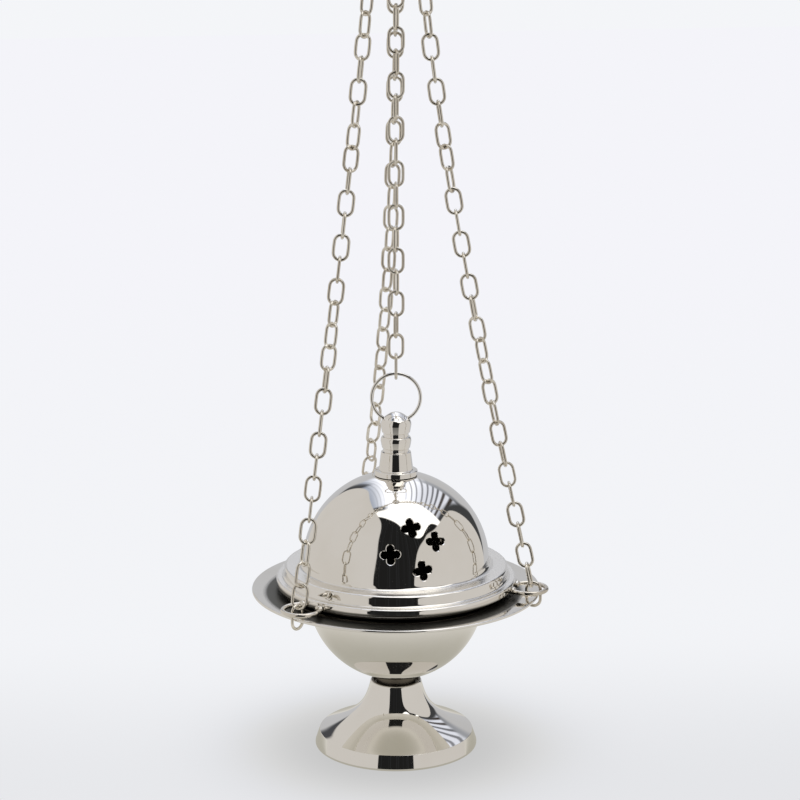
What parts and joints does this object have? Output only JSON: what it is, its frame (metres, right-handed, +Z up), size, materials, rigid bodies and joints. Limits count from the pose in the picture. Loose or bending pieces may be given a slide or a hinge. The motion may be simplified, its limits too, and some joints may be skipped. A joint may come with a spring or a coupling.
{
  "type": "hanging thurible censer",
  "caption": "Footed censer bowl with a wide brim, a pierced dome lid with finial riding on side chains through guide rings, and a centre chain that lifts the lid.",
  "frame": {"origin": "on the floor under the axis of the foot, bowl and lid", "axes": "+Z up along the common axis of foot, bowl, lid and centre chain; one of the three side chains leaves the brim at +Y, the other two 30 degrees below -X and +X"},
  "size_m": [0.1254, 0.1294, 0.3727],
  "materials": {
    "polished_nickel": "bright polished nickel plate over brass, with fine turning streaks",
    "chain_nickel": "softer, warmer nickel-plated wire",
    "plain_steel": "plain satin steel, unseen in use",
    "brazed_nickel": "dull plated wire with braze flow at its ends"
  },
  "bodies": {
    "bowl": {"foot": "polished_nickel", "foot_screw": "plain_steel", "foot_washer": "plain_steel", "bowl": "polished_nickel", "bowl_washer": "plain_steel", "bowl_nut": "plain_steel", "hand_cap": "polished_nickel", "cap_bush": "polished_nickel"},
    "fire_pan": {"fire_pan": "plain_steel"},
    "lid": {"lid": "polished_nickel", "lid_collar": "plain_steel", "finial": "polished_nickel", "finial_washer": "plain_steel", "finial_nut": "plain_steel", "guide_ring_1": "brazed_nickel", "guide_ring_2": "brazed_nickel", "guide_ring_3": "brazed_nickel", "centre_chain_ring_link": "chain_nickel", "centre_chain_run": "chain_nickel", "centre_chain_top_link": "chain_nickel"},
    "finial_ring": {"finial_ring": "polished_nickel"},
    "pull_ring": {"pull_ring": "chain_nickel"},
    "chain_1_lower": {"chain_1_brim_link": "chain_nickel", "chain_1_lower_run": "chain_nickel"},
    "chain_1_upper": {"chain_1_upper_run": "chain_nickel", "chain_1_cap_link": "chain_nickel"},
    "chain_2_lower": {"chain_2_brim_link": "chain_nickel", "chain_2_lower_run": "chain_nickel"},
    "chain_2_upper": {"chain_2_upper_run": "chain_nickel", "chain_2_cap_link": "chain_nickel"},
    "chain_3_lower": {"chain_3_brim_link": "chain_nickel", "chain_3_lower_run": "chain_nickel"},
    "chain_3_upper": {"chain_3_upper_run": "chain_nickel", "chain_3_cap_link": "chain_nickel"}
  },
  "joints": [
    {"name": "lid_lift", "type": "slide", "parent": "bowl", "child": "lid", "axis": [0, 0, 1], "range_m": [0, 0.04]},
    {"name": "pan_lift", "type": "slide", "parent": "bowl", "child": "fire_pan", "axis": [0, 0, 1], "range_m": [0, 0.04]},
    {"name": "finial_ring_swing", "type": "hinge", "parent": "lid", "child": "finial_ring", "pos_m": [0, 0, 0.1455], "axis": [0.9542, -0.299, 0], "range_deg": [-3, 3]},
    {"name": "pull_ring_swing", "type": "hinge", "parent": "lid", "child": "pull_ring", "pos_m": [0, 0, 0.34682], "axis": [0.299, 0.9542, 0], "range_deg": [-80, 80]},
    {"name": "chain_1_lean", "type": "hinge", "parent": "bowl", "child": "chain_1_lower", "pos_m": [-0.05248, -0.0303, 0.06965], "axis": [0.5644, -0.8255, 0], "range_deg": [0, 5.01]},
    {"name": "chain_1_swing", "type": "hinge", "parent": "bowl", "child": "chain_1_upper", "pos_m": [-0.01264, -0.00306, 0.333], "axis": [-0.5644, 0.8255, 0], "range_deg": [0, 1.21]},
    {"name": "chain_2_lean", "type": "hinge", "parent": "bowl", "child": "chain_2_lower", "pos_m": [0.05248, -0.0303, 0.06965], "axis": [0.4327, 0.9015, 0], "range_deg": [0, 7.51]},
    {"name": "chain_2_swing", "type": "hinge", "parent": "bowl", "child": "chain_2_upper", "pos_m": [0.00897, -0.00941, 0.333], "axis": [-0.4327, -0.9015, 0], "range_deg": [0, 1.81]},
    {"name": "chain_3_lean", "type": "hinge", "parent": "bowl", "child": "chain_3_lower", "pos_m": [0, 0.0606, 0.06965], "axis": [-0.9971, -0.076, 0], "range_deg": [0, 20.01]},
    {"name": "chain_3_swing", "type": "hinge", "parent": "bowl", "child": "chain_3_upper", "pos_m": [0.00367, 0.01247, 0.333], "axis": [0.9971, 0.076, 0], "range_deg": [0, 4.74]}
  ],
  "couplings": [
    {"joint": "chain_1_lean", "follows": "lid_lift", "rad_per_m": 2.1817},
    {"joint": "chain_1_swing", "follows": "lid_lift", "rad_per_m": 0.52399},
    {"joint": "chain_2_lean", "follows": "lid_lift", "rad_per_m": 3.2725},
    {"joint": "chain_2_swing", "follows": "lid_lift", "rad_per_m": 0.78499},
    {"joint": "chain_3_lean", "follows": "lid_lift", "rad_per_m": 8.7266},
    {"joint": "chain_3_swing", "follows": "lid_lift", "rad_per_m": 2.0635}
  ]
}
